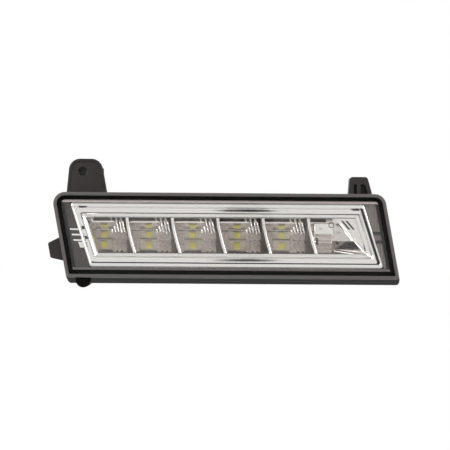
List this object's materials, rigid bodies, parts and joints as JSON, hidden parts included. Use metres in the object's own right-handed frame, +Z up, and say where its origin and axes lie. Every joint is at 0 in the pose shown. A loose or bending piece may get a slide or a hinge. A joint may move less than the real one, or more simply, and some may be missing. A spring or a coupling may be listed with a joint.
{
  "type": "daytime running light",
  "caption": "Slanted bumper lamp: black housing with mounting tabs, clear recessed lens, chrome surround and a row of faceted mirror cells, with a finned heat sink and socket behind.",
  "frame": {"origin": "middle of the rim's front plane, where the light leaves the lamp", "axes": "+X along the lamp to the right as seen from the front, +Y from the front towards the rear, +Z up"},
  "size_m": [0.2566, 0.074, 0.0939],
  "materials": {
    "moulded_black": "fine grain, matte",
    "clear_lens": "clear moulded, glossy",
    "black_sealant": "cured bead, matte",
    "bright_trim": "bright metal film on plastic",
    "panel_grey": "fine ribs, matte",
    "mirror_film": "bright metal film on plastic",
    "white_board": "white mask on metal core",
    "grey_pad": "soft, matte",
    "die_cast": "as cast, dull",
    "black_gasket": "matte",
    "green_board": "green mask",
    "black_chip": "moulded, matte",
    "ferrite": "sintered, matte",
    "can": "drawn, satin",
    "strip_metal": "stamped, satin",
    "socket_plastic": "moulded, matte",
    "seal_rubber": "moulded, matte",
    "pin_metal": "tinned, satin",
    "membrane": "porous film",
    "cap_plastic": "moulded, matte",
    "screw_steel": "zinc, satin",
    "led_package": "moulded, satin",
    "phosphor": "gel, satin"
  },
  "bodies": {
    "root": {"housing": "moulded_black", "lens": "clear_lens", "lens_sealant": "black_sealant", "chrome_trim": "bright_trim", "end_panel_left": "panel_grey", "end_panel_right": "panel_grey", "reflector": "mirror_film", "led_board": "white_board", "thermal_pad": "grey_pad", "heat_sink": "die_cast", "sink_gasket": "black_gasket", "driver_board": "green_board", "driver_chip": "black_chip", "driver_inductor": "ferrite", "driver_capacitor": "can", "link_strips": "strip_metal", "connector_socket": "socket_plastic", "connector_seal": "seal_rubber", "connector_pins": "pin_metal", "vent_membrane": "membrane", "vent_cap": "cap_plastic", "trim_screws": "screw_steel", "reflector_screws": "screw_steel", "board_screws": "screw_steel", "sink_screws": "screw_steel", "driver_screws": "screw_steel", "led_body_1": "led_package", "led_phosphor_1": "phosphor", "led_body_2": "led_package", "led_phosphor_2": "phosphor", "led_body_3": "led_package", "led_phosphor_3": "phosphor", "led_body_4": "led_package", "led_phosphor_4": "phosphor", "led_body_5": "led_package", "led_phosphor_5": "phosphor"}
  },
  "joints": []
}
